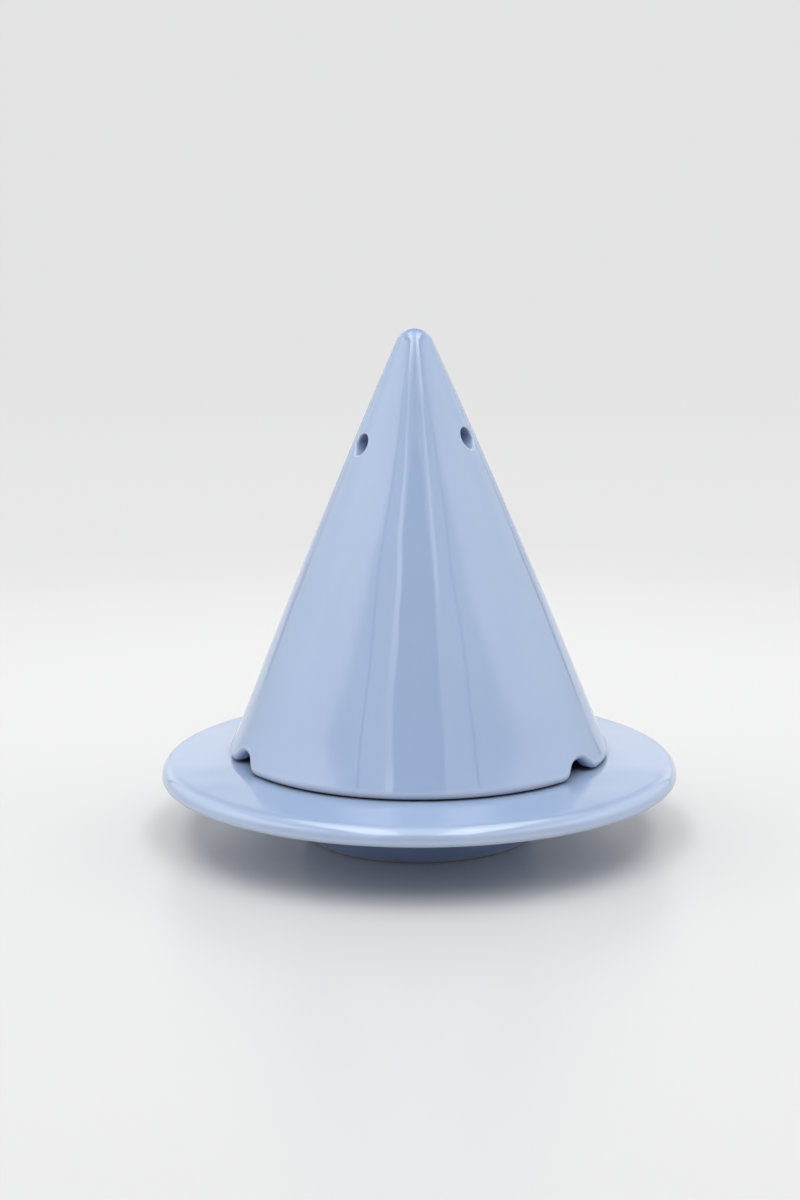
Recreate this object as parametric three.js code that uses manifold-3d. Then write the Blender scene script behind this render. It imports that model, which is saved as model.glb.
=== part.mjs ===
// Glazed stoneware oil burner: a saucer with a deep well, a tealight, a stand with three arches,
// an oil dish and a cone cover. Millimetres, +Z up, the front faces -Y.
// The origin is the middle of the saucer's foot ring, on the surface that it stands on.
import * as THREE from 'three';
import { mergeVertices } from 'three/addons/utils/BufferGeometryUtils.js';
import Module from 'manifold-3d';

const wasm = await Module();
wasm.setup();

// Driving dimensions

// Space left between two pieces where one rests on the other
const restGap = 0.3;

// Cone cover
const coverRimRadius = 58.85;
const coverHeight = 130.8;
const coverWall = 4.5;
const coverSwell = 0.92;
const coverNoseRadius = 5.9;
const coverInnerNoseRadius = 2.5;
const coverRimFlare = 0.75;
const coverFlareHeight = 15;
const coverRimOuterRound = 1.4;
const coverRimInnerRound = 1.0;
const coverSideSteps = 9;
const coverNoseSteps = 4;
const coverStepGrowth = 1.5;
const coverCutDepth = 18;

// Air inlets in the cover's rim and scent vents near its top: degrees from the front
// towards +X, and millimetres above the rim
const notchSpan = 22;
const notchShoulder = 13;
const notchFlare = 9;
const notchCurveSteps = 6;
const notches = [
  { azimuth: 57, height: 4.3 },
  { azimuth: 175, height: 4.7 },
  { azimuth: -67, height: 5.1 },
];
const ventDiameter = 6.6;
const vents = [
  { azimuth: 60, height: 98.5 },
  { azimuth: 180, height: 97.6 },
  { azimuth: -60, height: 96.6 },
];

// Saucer
const brimReach = 21.15;
const seatLedge = 2;
const seatHeight = 25.6;
const seatRound = 15;
const brimThickness = 5;
const brimDrop = 3.3;
const brimEdgeThickness = 4.4;
const brimEdgeRound = 2.1;
const footWall = 4.65;
const footRingWidth = 4;
const footRise = 2;
const footFlare = 2.6;
const footEdgeRound = 0.8;
const footFillet = 6;
const wellFloorThickness = 4;
const wellFloorRound = 2.2;
const wellFlare = 1.6;
const wellLipRound = 3.5;

// Tealight
const tealightRadius = 19;
const tealightHeight = 15.5;
const cupWall = 0.5;
const cupRimBead = 0.5;
const cupBottomRound = 1;
const waxDepth = 12.4;
const waxGap = 0.3;
const wickRadius = 0.8;
const wickTipAboveCup = 5.5;
const wickLean = 1.6;
const wickSteps = 8;
const tabRadius = 7;
const tabThickness = 0.5;
const tabNeckWall = 0.5;
const tabNeckHeight = 4;

// Dish stand
const tealightRoom = 5.5;
const standWall = 4;
const standSideGap = 0.3;
const standTaper = 4;
const standEdgeRound = 1;
const archCount = 3;
const archWidth = 29;
const archTopBand = 13;
const archCurveSteps = 9;

// Oil dish
const dishRimBeyondFoot = 0.5;
const dishAirGap = 6;
const dishHeight = 14;
const dishWall = 3;
const dishRimRound = 1.35;
const dishFloor = 2.5;
const dishSpigotDepth = 2.5;
const dishSpigotGap = 0.8;
const dishLean = 1.4;
const dishBellyShare = 0.4;
const dishOuterRound = 8;
const dishInnerRound = 8;

// Facets round each turned piece: a multiple of 4, so that it reaches its full width
// on both axes
const facetsLarge = 56;
const facetsSmall = 40;
const facetsTealight = 32;
const facetsTab = 16;
const facetsVent = 16;
const degreesPerArcStep = 30;

// Corners closer together than this are one corner
const weldDistance = 1e-5;

// Worked out from the dimensions above

const coverNoseCentre = coverHeight - coverNoseRadius;
const coverSlant = Math.atan2(coverRimRadius, coverNoseCentre)
  - Math.asin(coverNoseRadius / Math.hypot(coverRimRadius, coverNoseCentre));
const coverSideways = coverWall / Math.cos(coverSlant);
const coverSeat = seatHeight + restGap;
const saucerRadius = coverRimRadius + brimReach;
const standFootRadius = tealightRadius + tealightRoom + standWall;
const wellRadius = standFootRadius + standSideGap + wellFloorRound;
const wellFloor = footRise + wellFloorThickness;
const footRadius = wellRadius + footWall;
const dishRimRadius = standFootRadius + dishRimBeyondFoot;
const dishRimAboveCoverSeat = (coverRimRadius - coverSideways - dishRimRadius - dishAirGap)
  / Math.tan(coverSlant);
const standBase = wellFloor + restGap;
const dishSeat = coverSeat + dishRimAboveCoverSeat - dishHeight;
const standHeight = dishSeat - restGap - standBase;
const standTopRadius = standFootRadius - standTaper;
const spigotRadius = standTopRadius - standWall - dishSpigotGap;

// Outlines: a corner has a radius from the axis, a height and, where it is rounded, a radius

function corner(r, z, round = 0) {
  return { at: new THREE.Vector2(r, z), round };
}

// The arc that rounds one corner, touching the straight stretches on both sides of it
function roundedCorner(before, here, after) {
  const back = before.at.clone().sub(here.at).normalize();
  const ahead = after.at.clone().sub(here.at).normalize();
  const turn = Math.PI - Math.acos(THREE.MathUtils.clamp(back.dot(ahead), -1, 1));
  const tangent = here.round * Math.tan(turn / 2);
  const start = here.at.clone().addScaledVector(back, tangent);
  const toCentre = back.clone().add(ahead).normalize();
  const centre = here.at.clone().addScaledVector(toCentre, here.round / Math.cos(turn / 2));
  const sense = Math.sign(ahead.cross(back));
  const steps = Math.max(2, Math.ceil(THREE.MathUtils.radToDeg(turn) / degreesPerArcStep));
  const spoke = start.sub(centre);
  const points = [];
  for (let i = 0; i <= steps; i += 1) {
    const angle = (sense * turn * i) / steps;
    points.push(spoke.clone().rotateAround(new THREE.Vector2(), angle).add(centre));
  }
  return points;
}

// Corners in order, counterclockwise with the radius to the right and the height up
function outline(corners) {
  const count = corners.length;
  return corners.flatMap((here, i) => {
    if (!here.round) return [here.at];
    return roundedCorner(corners[(i + count - 1) % count], here, corners[(i + 1) % count]);
  });
}

// Solids

// One closed mesh: shared vertices merged and the slivers on the axis left out
function welded(geometry) {
  const bare = geometry.index ? geometry.toNonIndexed() : geometry.clone();
  bare.deleteAttribute('normal');
  bare.deleteAttribute('uv');
  const merged = mergeVertices(bare, weldDistance);
  const indices = merged.index.array;
  const kept = [];
  for (let i = 0; i < indices.length; i += 3) {
    const [a, b, c] = indices.slice(i, i + 3);
    if (a !== b && b !== c && c !== a) kept.push(a, b, c);
  }
  merged.setIndex(kept);
  return merged;
}

// A profile turned round the Z axis; it starts and ends on the axis or closes on itself
function turned(points, facets, closed = false) {
  const profile = closed ? [...points, points[0].clone()] : points;
  const geometry = new THREE.LatheGeometry(profile, facets);
  geometry.rotateX(Math.PI / 2);
  return welded(geometry);
}

function toManifold(geometry) {
  const vertProperties = new Float32Array(geometry.attributes.position.array);
  const triVerts = new Uint32Array(geometry.index.array);
  return new wasm.Manifold(new wasm.Mesh({ numProp: 3, vertProperties, triVerts }));
}

function fromManifold(solid) {
  const { vertProperties, triVerts } = solid.getMesh();
  const geometry = new THREE.BufferGeometry();
  geometry.setAttribute('position', new THREE.BufferAttribute(vertProperties, 3));
  geometry.setIndex(Array.from(triVerts));
  return geometry;
}

function cutAway(geometry, cutters) {
  const start = toManifold(geometry);
  return fromManifold(cutters.reduce((left, cutter) => left.subtract(toManifold(cutter)), start));
}

// Turns a cutter drawn with x sideways, y up and z outwards to face an azimuth
function facing(geometry, azimuth) {
  const angle = THREE.MathUtils.degToRad(azimuth);
  const sideways = new THREE.Vector3(Math.cos(angle), Math.sin(angle), 0);
  const up = new THREE.Vector3(0, 0, 1);
  const outwards = new THREE.Vector3(Math.sin(angle), -Math.cos(angle), 0);
  return geometry.applyMatrix4(new THREE.Matrix4().makeBasis(sideways, up, outwards));
}

// Cone cover, drawn from its rim up

// Radius of the slanted side: a straight cone with a slight swell halfway up,
// which flares a little towards the rim
function coverSide(height, rimRadius, topOfSide) {
  const share = height / topOfSide;
  const swell = 4 * coverSwell * share * (1 - share);
  const flare = coverRimFlare * Math.max(0, 1 - height / coverFlareHeight) ** 2;
  return rimRadius - height * Math.tan(coverSlant) + swell + flare;
}

// Points from the rim to the axis at the top, nose included, closer together near the rim
function coverSkin(rimRadius, rimRound, noseRadius) {
  const centre = (rimRadius - noseRadius / Math.cos(coverSlant)) / Math.tan(coverSlant);
  const topOfSide = centre + noseRadius * Math.sin(coverSlant);
  const points = [corner(coverSide(0, rimRadius, topOfSide), 0, rimRound)];
  for (let i = 1; i < coverSideSteps; i += 1) {
    const height = topOfSide * (i / coverSideSteps) ** coverStepGrowth;
    points.push(corner(coverSide(height, rimRadius, topOfSide), height));
  }
  for (let i = 0; i <= coverNoseSteps; i += 1) {
    const angle = coverSlant + ((Math.PI / 2 - coverSlant) * i) / coverNoseSteps;
    const radius = i === coverNoseSteps ? 0 : noseRadius * Math.cos(angle);
    points.push(corner(radius, centre + noseRadius * Math.sin(angle)));
  }
  return points;
}

// Air inlet: a bell-shaped arch, flared where it meets the rim
function notchCutter({ azimuth, height }) {
  const half = notchSpan / 2;
  const below = coverRimOuterRound;
  const shape = new THREE.Shape();
  shape.moveTo(-half, -below);
  shape.lineTo(half, -below);
  shape.lineTo(half, 0);
  shape.bezierCurveTo(notchFlare / 2, 0, notchShoulder / 2, height, 0, height);
  shape.bezierCurveTo(-notchShoulder / 2, height, -notchFlare / 2, 0, -half, 0);
  const settings = { depth: coverCutDepth, bevelEnabled: false, curveSegments: notchCurveSteps };
  const arch = new THREE.ExtrudeGeometry(shape, settings);
  arch.translate(0, 0, coverRimRadius + coverWall - coverCutDepth);
  return facing(welded(arch), azimuth);
}

function ventCutter({ azimuth, height }) {
  const wallRadius = coverRimRadius - height * Math.tan(coverSlant);
  const radius = ventDiameter / 2;
  const bore = new THREE.CylinderGeometry(radius, radius, coverCutDepth, facetsVent);
  bore.rotateX(Math.PI / 2);
  bore.translate(0, height, wallRadius);
  return facing(welded(bore), azimuth);
}

function coneCover() {
  const innerRimRadius = coverRimRadius - coverSideways;
  const inside = coverSkin(innerRimRadius, coverRimInnerRound, coverInnerNoseRadius).reverse();
  const outside = coverSkin(coverRimRadius, coverRimOuterRound, coverNoseRadius);
  const shell = turned(outline([...inside, ...outside]), facetsLarge);
  return cutAway(shell, [...notches.map(notchCutter), ...vents.map(ventCutter)]);
}

// Saucer: a brim like a hat's, a deep well in the middle and an open foot ring below it
function saucer() {
  const footInnerRadius = footRadius - footRingWidth;
  const edgeTop = seatHeight - brimDrop;
  const edgeBottom = edgeTop - brimEdgeThickness;
  return turned(outline([
    corner(0, footRise),
    corner(footInnerRadius, footRise, footEdgeRound),
    corner(footInnerRadius, 0, footEdgeRound),
    corner(footRadius, 0, footEdgeRound),
    corner(footRadius + footFlare, seatHeight - brimThickness, footFillet),
    corner(saucerRadius, edgeBottom, brimEdgeRound),
    corner(saucerRadius, edgeTop, brimEdgeRound),
    corner(coverRimRadius + seatLedge, seatHeight, seatRound),
    corner(wellRadius + wellFlare, seatHeight, wellLipRound),
    corner(wellRadius, wellFloor, wellFloorRound),
    corner(0, wellFloor),
  ]), facetsLarge);
}

// Dish stand: a tapered ring on three legs, with an arch between each pair of legs
function archCutter(azimuth) {
  const half = archWidth / 2;
  const springing = standHeight - archTopBand - half;
  const shape = new THREE.Shape();
  shape.moveTo(-half, -standWall);
  shape.lineTo(half, -standWall);
  shape.lineTo(half, springing);
  shape.absarc(0, springing, half, 0, Math.PI, false);
  shape.lineTo(-half, -standWall);
  const depth = standFootRadius + standWall;
  const settings = { depth, bevelEnabled: false, curveSegments: archCurveSteps };
  const arch = new THREE.ExtrudeGeometry(shape, settings);
  return facing(welded(arch), azimuth);
}

function dishStand() {
  const ring = turned(outline([
    corner(standFootRadius - standWall, 0, standEdgeRound),
    corner(standFootRadius, 0, standEdgeRound),
    corner(standTopRadius, standHeight, standEdgeRound),
    corner(standTopRadius - standWall, standHeight, standEdgeRound),
  ]), facetsSmall, true);
  const azimuths = Array.from({ length: archCount }, (_, i) => (360 * i) / archCount);
  return cutAway(ring, azimuths.map(archCutter));
}

// Oil dish: a shallow bowl; the spigot under it drops into the top of the stand
function oilDish() {
  const belly = dishHeight * dishBellyShare;
  return turned(outline([
    corner(0, -dishSpigotDepth),
    corner(spigotRadius, -dishSpigotDepth, standEdgeRound),
    corner(spigotRadius, 0),
    corner(standTopRadius, 0, standEdgeRound),
    corner(dishRimRadius - dishLean, belly, dishOuterRound),
    corner(dishRimRadius, dishHeight, dishRimRound),
    corner(dishRimRadius - dishWall, dishHeight, dishRimRound),
    corner(dishRimRadius - dishWall - dishLean, dishFloor, dishInnerRound),
    corner(0, dishFloor),
  ]), facetsSmall);
}

// Tealight, drawn from the bottom of its cup up

function tealightCup() {
  const bead = tealightRadius + cupRimBead;
  return turned(outline([
    corner(0, 0),
    corner(tealightRadius, 0, cupBottomRound),
    corner(tealightRadius, tealightHeight - 2 * cupRimBead),
    corner(bead, tealightHeight - 2 * cupRimBead),
    corner(bead, tealightHeight),
    corner(tealightRadius - cupWall, tealightHeight),
    corner(tealightRadius - cupWall, cupWall, cupWall),
    corner(0, cupWall),
  ]), facetsTealight);
}

// Sheet-metal tab that stands the wick up: a disc with a crimped neck
const tabNeckInner = wickRadius + waxGap;
const tabNeckRadius = tabNeckInner + tabNeckWall;
const tabTop = tabThickness + tabNeckHeight;

function wickTab() {
  return turned(outline([
    corner(0, 0),
    corner(tabRadius, 0),
    corner(tabRadius, tabThickness),
    corner(tabNeckRadius, tabThickness),
    corner(tabNeckRadius, tabTop),
    corner(tabNeckInner, tabTop),
    corner(tabNeckInner, tabThickness),
    corner(0, tabThickness),
  ]), facetsTab);
}

// Wax: it fills the cup around the tab and the wick
function tealightWax() {
  const outer = tealightRadius - cupWall - waxGap;
  const hole = wickRadius + waxGap;
  const step = tabRadius + waxGap;
  const overDisc = tabThickness + waxGap;
  const overNeck = tabTop + waxGap;
  return turned(outline([
    corner(step, 0),
    corner(outer, 0, cupWall),
    corner(outer, waxDepth),
    corner(hole, waxDepth),
    corner(hole, overNeck),
    corner(tabNeckRadius + waxGap, overNeck),
    corner(tabNeckRadius + waxGap, overDisc),
    corner(step, overDisc),
  ]), facetsTealight, true);
}

// Wick: a cord that stands straight through the wax and leans over at its tip
function tealightWick() {
  const foot = tabThickness + waxGap;
  const bend = waxDepth + waxGap;
  const tip = tealightHeight - cupWall + wickTipAboveCup;
  const path = new THREE.CurvePath();
  path.add(new THREE.LineCurve3(new THREE.Vector3(0, 0, foot), new THREE.Vector3(0, 0, bend)));
  path.add(new THREE.QuadraticBezierCurve3(
    new THREE.Vector3(0, 0, bend),
    new THREE.Vector3(0, 0, (bend + tip) / 2),
    new THREE.Vector3(wickLean, 0, tip),
  ));
  const section = new THREE.Shape().absarc(0, 0, wickRadius, 0, 2 * Math.PI, false);
  const settings = { steps: wickSteps, curveSegments: wickSteps, extrudePath: path };
  return welded(new THREE.ExtrudeGeometry(section, settings));
}

// Materials

const glaze = { color: '#a0b5d6', roughness: 0.12, metalness: 0 };
const aluminium = { color: '#c9cccf', roughness: 0.35, metalness: 1 };
const wax = { color: '#f3f0e6', roughness: 0.5, metalness: 0 };
const cotton = { color: '#efe9da', roughness: 0.95, metalness: 0 };
const tinplate = { color: '#b8babd', roughness: 0.4, metalness: 1 };

function piece(name, geometry, look, height) {
  const mesh = new THREE.Mesh(geometry, new THREE.MeshStandardMaterial(look));
  mesh.name = name;
  mesh.position.z = height;
  return mesh;
}

const tealight = new THREE.Group();
tealight.position.z = wellFloor + restGap;
tealight.add(
  piece('tealight_cup', tealightCup(), aluminium, 0),
  piece('wick_tab', wickTab(), tinplate, cupWall + restGap),
  piece('tealight_wax', tealightWax(), wax, cupWall + restGap),
  piece('tealight_wick', tealightWick(), cotton, cupWall + restGap),
);

const oilBurner = new THREE.Group();
oilBurner.add(
  piece('saucer', saucer(), glaze, 0),
  tealight,
  piece('dish_stand', dishStand(), glaze, standBase),
  piece('oil_dish', oilDish(), glaze, dishSeat),
  piece('cone_cover', coneCover(), glaze, coverSeat),
);

export default oilBurner;
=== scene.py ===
"""Glazed stoneware oil burner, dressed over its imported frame: a leaning cone cover on a brimmed saucer,
with a tealight, an arched stand and an oil dish under it.

Metres, +Z up, the front faces -Y. Shapes are worked out in millimetres and made metres when a mesh is
made. An azimuth is measured from the front towards +X.
"""

import bpy
import numpy as np
from mathutils import Matrix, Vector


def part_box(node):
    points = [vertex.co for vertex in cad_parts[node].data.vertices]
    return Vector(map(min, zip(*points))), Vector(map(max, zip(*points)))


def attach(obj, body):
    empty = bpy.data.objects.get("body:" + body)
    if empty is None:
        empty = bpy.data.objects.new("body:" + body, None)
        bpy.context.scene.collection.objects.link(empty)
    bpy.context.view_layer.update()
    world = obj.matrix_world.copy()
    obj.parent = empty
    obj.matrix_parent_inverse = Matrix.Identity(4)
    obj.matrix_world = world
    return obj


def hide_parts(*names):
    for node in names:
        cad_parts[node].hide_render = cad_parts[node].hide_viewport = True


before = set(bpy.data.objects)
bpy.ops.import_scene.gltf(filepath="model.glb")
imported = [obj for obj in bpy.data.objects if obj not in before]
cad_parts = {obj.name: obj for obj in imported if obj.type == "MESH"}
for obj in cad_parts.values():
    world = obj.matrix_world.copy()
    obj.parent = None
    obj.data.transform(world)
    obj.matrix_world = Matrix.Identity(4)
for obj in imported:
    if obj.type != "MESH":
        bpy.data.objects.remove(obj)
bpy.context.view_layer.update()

MM = 0.001


def low_high(node):
    """Lowest and highest height of a solid, in millimetres."""
    low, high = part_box(node)
    return low.z / MM, high.z / MM


# Sizes, in millimetres; angles in degrees

SAUCER_RADIUS = 80.0
SEAT_HEIGHT = 25.6
BRIM_EDGE_TOP = SEAT_HEIGHT - 1.6
BRIM_EDGE_BOTTOM = SEAT_HEIGHT - 7.1
WELL_RADIUS = 31.0
WELL_FLOOR = 6.0
FOOT_RADIUS = 35.65
FOOT_WIDTH = 4.0
FOOT_ROUND = 0.8
FOOT_HOLLOW = 2.0

COVER_SEAT, COVER_TOP = low_high("cone_cover")
COVER_HEIGHT = COVER_TOP - COVER_SEAT
COVER_RADIUS = 58.85
COVER_WALL = 4.5
COVER_SWELL = 1.04
COVER_FLARE = 0.75
COVER_FLARE_HEIGHT = 15.0
COVER_NOSE = 5.9
COVER_INNER_NOSE = 2.5
COVER_OUTER_ROUND = 2.4
COVER_INNER_ROUND = 1.0
COVER_LEAN = 0.0090
COVER_ROW_STEP = 1.6
COVER_COLUMNS = 430
RIM_GAP = 0.2

INLET_SPAN = 22.0
INLET_SHOULDER = 13.0
INLET_FLARE = 9.0
# Azimuth and height of each inlet, and of each vent's middle, over the cover's seat
INLETS = [(57.0, 4.3), (175.0, 4.5), (-67.0, 4.3)]
VENTS = [(60.0, 98.5), (180.0, 97.6), (-60.0, 96.6)]
VENT_RADIUS = 3.1
VENT_OUTER_LIP = 0.6
VENT_INNER_LIP = 0.4
VENT_BLOCK_ANGLE = 18.5
VENT_BLOCK_HEIGHT = 6.4

STAND_BASE, STAND_TOP = low_high("dish_stand")
STAND_HEIGHT = STAND_TOP - STAND_BASE
STAND_FOOT = 28.5
STAND_TAPER = 4.0
STAND_TOP_RADIUS = STAND_FOOT - STAND_TAPER
STAND_WALL = 4.0
ARCH_HALF = 14.5
ARCH_TOP_BAND = 13.0

DISH_BOTTOM, DISH_RIM = low_high("oil_dish")
DISH_RADIUS = 29.0
DISH_WALL = 3.0
DISH_FLOOR = 2.5
DISH_LEAN = 1.4
DISH_RIM_ROUND = 1.35
SPIGOT_RADIUS = 19.7
SPIGOT_DEPTH = 2.5

CUP_BASE, CUP_TOP = low_high("tealight_cup")
CUP_RADIUS = 19.0
CUP_SHEET = 0.5
CUP_BEAD = 0.5
CUP_FLUTES = 60
WAX_GAP = 0.3
WAX_BOTTOM, WAX_TOP = low_high("tealight_wax")
WAX_RADIUS = CUP_RADIUS - CUP_SHEET - WAX_GAP
WICK_BOTTOM, WICK_TIP = low_high("tealight_wick")
WICK_RADIUS = 0.8
WICK_HOLE = WICK_RADIUS + WAX_GAP
WICK_STRAIGHT = 11.9
WICK_LEAN = 1.6
TAB_BASE, TAB_TOP = low_high("wick_tab")
TAB_RADIUS = 7.0
TAB_SHEET = 0.5


# Profiles


def arc_at(before, here, after, radius, step=9.0):
    """Points of the arc of that radius which touches the two straight sides meeting at `here`: its centre
    lies on the bisector at radius / cos(half the turn), and its spoke turns by the whole turn in equal steps
    of at most `step` degrees."""
    back = (before - here) / np.linalg.norm(before - here)
    ahead = (after - here) / np.linalg.norm(after - here)
    turn = np.pi - np.arccos(np.clip(back @ ahead, -1, 1))
    middle = (back + ahead) / np.linalg.norm(back + ahead)
    centre = here + middle * radius / np.cos(turn / 2)
    spoke = here + back * radius * np.tan(turn / 2) - centre
    sense = np.sign(ahead[0] * back[1] - ahead[1] * back[0])
    angle = sense * np.linspace(0, turn, int(np.ceil(np.degrees(turn) / step)) + 2)
    c, s = np.cos(angle), np.sin(angle)
    return centre + np.stack([c * spoke[0] - s * spoke[1], s * spoke[0] + c * spoke[1]], 1)


def divided(points, longest):
    """The same line with every straight stretch cut evenly into steps no longer than `longest`."""
    parts = [points[:1]]
    for a, b in zip(points[:-1], points[1:]):
        count = max(1, int(np.ceil(np.linalg.norm(b - a) / longest)))
        parts.append(a + (b - a) * np.linspace(0, 1, count + 1)[1:, None])
    return np.concatenate(parts)


def profile(corners, longest=1.2):
    """A section through corners (radius, height, rounding), counterclockwise with the radius to the right:
    each rounded corner is an arc that touches both its sides, and the straight stretches are divided. After
    the last corner comes the first."""
    at = np.array([corner[:2] for corner in corners], float)
    parts = []
    for i, corner in enumerate(corners):
        if len(corner) < 3:
            parts.append(at[i : i + 1])
        else:
            parts.append(arc_at(at[i - 1], at[i], at[(i + 1) % len(at)], corner[2]))
    return divided(np.concatenate(parts), longest)


def bend_and_shade(line, closed=False, spread=0.7):
    """How sharply a section turns near each of its points: its turns weighted with a bell curve of `spread`
    millimetres. Above 0 on an outward edge, where a glaze runs thin, and below 0 in a hollow, where it
    pools."""
    ring = np.concatenate([line[-1:], line, line[:1]]) if closed else line
    step = np.diff(ring, axis=0)
    turn = np.diff(np.unwrap(np.arctan2(step[:, 1], step[:, 0])))
    turn = turn if closed else np.concatenate([[0], turn, [0]])
    along = np.concatenate([[0], np.cumsum(np.linalg.norm(np.diff(line, axis=0), axis=1))])
    gap = along[:, None] - along[None, :]
    near = np.exp(-0.5 * (gap / spread) ** 2) / (spread * np.sqrt(2 * np.pi))
    return near @ turn


# Meshes


def around(radius, height, azimuth):
    """Points at that radius, height and azimuth in radians: x = r sin a, y = -r cos a, z = height."""
    at = radius * np.sin(azimuth), -radius * np.cos(azimuth), height
    return np.stack(np.broadcast_arrays(*at), -1)


def grid_faces(index, closed):
    """Quads between the neighbouring rows and columns of a grid of vertex numbers whose last column joins
    its first; closed means that the last row joins the first row too."""
    right = np.roll(index, -1, axis=1)
    if closed:
        rows, right_rows = (index, np.roll(index, -1, axis=0)), (right, np.roll(right, -1, axis=0))
    else:
        rows, right_rows = (index[:-1], index[1:]), (right[:-1], right[1:])
    return np.stack([rows[0], right_rows[0], right_rows[1], rows[1]], -1)


def meshed(name, points, quads, bend_shade=None):
    """One smooth object from points in millimetres and quads. A quad that has shrunk to a triangle at a pole
    becomes one, and points that nothing uses are left out. The last argument is kept at the points for the
    finish to read: an edge's bend, painted shade where a piece marks it, or a wick strand's height."""
    quads = quads.reshape(-1, 4)
    shrunk = (quads == np.roll(quads, -1, axis=1)).any(axis=1)
    used, number = np.unique(quads, return_inverse=True)
    number = number.reshape(-1, 4)
    faces = number[~shrunk].tolist()
    faces += [list(dict.fromkeys(face)) for face in number[shrunk].tolist()]
    mesh = bpy.data.meshes.new(name)
    mesh.from_pydata((points.reshape(-1, 3)[used] * MM).tolist(), [], faces)
    mesh.polygons.foreach_set("use_smooth", np.ones(len(faces), bool))
    if bend_shade is not None:
        kept = mesh.attributes.new("bend_and_shade", "FLOAT", "POINT")
        kept.data.foreach_set("value", bend_shade[used].astype(np.float32))
    mesh.update()
    made = bpy.data.objects.new(name, mesh)
    bpy.context.scene.collection.objects.link(made)
    return made


def piece(name, points, quads, body, node, finish, bend_shade):
    """A visible piece that rides on a body in place of a solid."""
    made = meshed(name, points, quads, bend_shade)
    made.data.materials.append(finish)
    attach(made, body)
    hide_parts(node)


def lathe(name, line, columns, body, node, finish, closed=False, base=0.0, ripple=None):
    """The section turned round the Z axis and raised by base. A row on the axis is one point. ripple gives
    the change of the radius as a function of the section's point and the azimuth."""
    azimuth = np.linspace(0, 2 * np.pi, columns, endpoint=False)
    radius, height = np.repeat(line[:, 0], columns), np.repeat(line[:, 1], columns)
    turn = np.tile(azimuth, len(line))
    if ripple is not None:
        radius = radius + ripple(radius, height, turn)
    points = around(radius, height + base, turn)
    index = np.arange(len(points)).reshape(len(line), columns)
    for end in (0, -1):
        if not closed and line[end, 0] < 1e-6:
            index[end] = index[end, 0]
    bend_shade = np.repeat(bend_and_shade(line, closed), columns)
    piece(name, points, grid_faces(index, closed), body, node, finish, bend_shade)


# Finishes


class Signal:
    """A value that changes over a surface. Arithmetic with it adds Math nodes to its recipe."""

    def __init__(self, recipe, socket):
        self.recipe, self.socket = recipe, socket

    def __add__(self, other):
        return self.recipe.math("ADD", self, other)

    def __sub__(self, other):
        return self.recipe.math("SUBTRACT", self, other)

    def __rsub__(self, other):
        return self.recipe.math("SUBTRACT", other, self)

    def __mul__(self, other):
        return self.recipe.math("MULTIPLY", self, other)

    __radd__, __rmul__ = __add__, __mul__

    def __truediv__(self, other):
        return self.recipe.math("DIVIDE", self, other)

    def __neg__(self):
        return self.recipe.math("SUBTRACT", 0.0, self)

    def __abs__(self):
        return self.recipe.math("ABSOLUTE", self)


class Recipe:
    """The nodes of one material or world."""

    def __init__(self, owner):
        owner.use_nodes = True
        self.owner, self.tree = owner, owner.node_tree
        self.tree.nodes.clear()

    def add(self, kind, settings=None, inputs=None, output=0):
        """A node of that type: its settings come first, then the values or links of its sockets; gives back
        the output asked for."""
        node = self.tree.nodes.new(kind)
        for name, value in (settings or {}).items():
            setattr(node, name, value)
        for name, value in (inputs or {}).items():
            if isinstance(value, Signal):
                self.tree.links.new(value.socket, node.inputs[name])
            else:
                node.inputs[name].default_value = value
        return Signal(self, node.outputs[output]) if node.outputs else node

    def math(self, operation, *terms):
        return self.add("ShaderNodeMath", {"operation": operation}, dict(enumerate(terms)))

    def rise(self, value, start, end):
        """0 below start, 1 above end and a smooth step between them."""
        inputs = {"Value": value, "From Min": start, "From Max": end}
        return self.add("ShaderNodeMapRange", {"interpolation_type": "SMOOTHSTEP"}, inputs)

    def fall(self, value, start, end):
        """1 below start, 0 above end and a smooth step between them."""
        return 1.0 - self.rise(value, start, end)

    def blend(self, share, a, b):
        """Colour a where share is 0 and b where it is 1."""
        return self.add("ShaderNodeMix", {"data_type": "RGBA"}, {0: share, 6: a, 7: b}, output=2)

    def place(self):
        """Where the point is on its own piece, in metres."""
        return self.add("ShaderNodeTexCoord", output="Object")

    def part(self, vector, axis):
        """The X, Y or Z of a vector."""
        return self.add("ShaderNodeSeparateXYZ", None, {"Vector": vector}, output=axis)

    def stretched(self, vector, factors):
        return self.add("ShaderNodeVectorMath", {"operation": "MULTIPLY"}, {0: vector, 1: factors})

    def length(self, vector):
        return self.add("ShaderNodeVectorMath", {"operation": "LENGTH"}, {0: vector}, output="Value")

    def kept(self, name):
        """A value that the mesh keeps at its points."""
        return self.add("ShaderNodeAttribute", {"attribute_name": name}, output="Fac")

    def noise(self, where, scale, detail=2.0, roughness=0.5):
        inputs = {"Vector": where, "Scale": scale, "Detail": detail, "Roughness": roughness}
        return self.add("ShaderNodeTexNoise", None, inputs, output="Fac")

    def bump(self, height, distance, under=None):
        inputs = {"Height": height, "Distance": distance, "Strength": 1.0}
        if under is not None:
            inputs["Normal"] = under
        return self.add("ShaderNodeBump", None, inputs)

    def finished(self, inputs):
        """The material, with those inputs on its Principled shader."""
        shader = self.add("ShaderNodeBsdfPrincipled", None, inputs)
        self.add("ShaderNodeOutputMaterial", None, {"Surface": shader})
        return self.owner


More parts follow.
